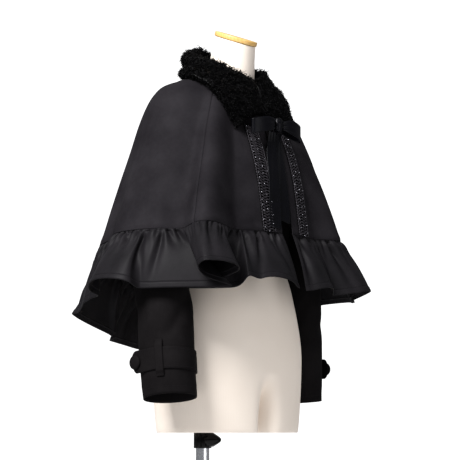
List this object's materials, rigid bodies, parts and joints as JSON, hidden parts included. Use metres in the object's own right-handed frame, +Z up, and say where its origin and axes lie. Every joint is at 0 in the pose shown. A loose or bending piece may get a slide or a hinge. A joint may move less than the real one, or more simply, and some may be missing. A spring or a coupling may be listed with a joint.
{
  "type": "cape coat on a dress form",
  "caption": "Short black cape coat with a gathered ruffle hem, fur collar, ribbon bow and braid trim over a long-sleeved coat, worn on a pale dress form on a pole stand.",
  "frame": {"origin": "Middle of the base plate's underside, on the floor, below the body's axis.", "axes": "+Z up, -Y the wearer's front, -X the wearer's right."},
  "size_m": [0.6315, 0.4581, 1.46],
  "materials": {
    "wool": "matte black napped coat cloth",
    "fur": "curly black pile",
    "braid": "black lattice braid with small beads",
    "satin": "black satin ribbon",
    "jersey": "ivory jersey over a hard shell",
    "wood": "clear lacquered light wood",
    "chrome": "polished tube",
    "black_plastic": "black moulded plastic",
    "plate": "black painted steel"
  },
  "bodies": {
    "stand": {"base_plate": "plate", "pole": "chrome"},
    "clamp": {"clamp_collar": "black_plastic"},
    "knob": {"clamp_knob": "black_plastic"},
    "form": {"form_torso": "jersey", "neck_cap": "wood", "coat_front_right": "wool", "coat_front_left": "wool", "coat_back": "wool", "sleeve_right": "wool", "sleeve_left": "wool", "cuff_strap_right": "wool", "cuff_strap_left": "wool", "cuff_button_right": "wool", "cuff_button_left": "wool", "cuff_loop_right": "wool", "cuff_loop_left": "wool", "cape_front_right": "wool", "cape_front_left": "wool", "cape_back": "wool", "ruffle_front_right": "wool", "ruffle_front_left": "wool", "ruffle_back": "wool", "collar_fur": "fur", "trim_right": "braid", "trim_left": "braid", "ribbon_knot": "satin", "ribbon_loop_right": "satin", "ribbon_loop_left": "satin", "ribbon_tail_right": "satin", "ribbon_tail_left": "satin"}
  },
  "joints": [
    {"name": "height", "type": "slide", "parent": "stand", "child": "clamp", "axis": [0, 0, 1], "range_m": [-0.12, 0.08]},
    {"name": "swivel", "type": "hinge", "parent": "clamp", "child": "form", "pos_m": [-0.085, -0.0165, 0.7], "axis": [0, 0, 1], "continuous": true},
    {"name": "knob_turn", "type": "hinge", "parent": "clamp", "child": "knob", "pos_m": [-0.085, -0.0329, 0.6847], "axis": [0, -1, 0], "range_deg": [0, 360]}
  ]
}
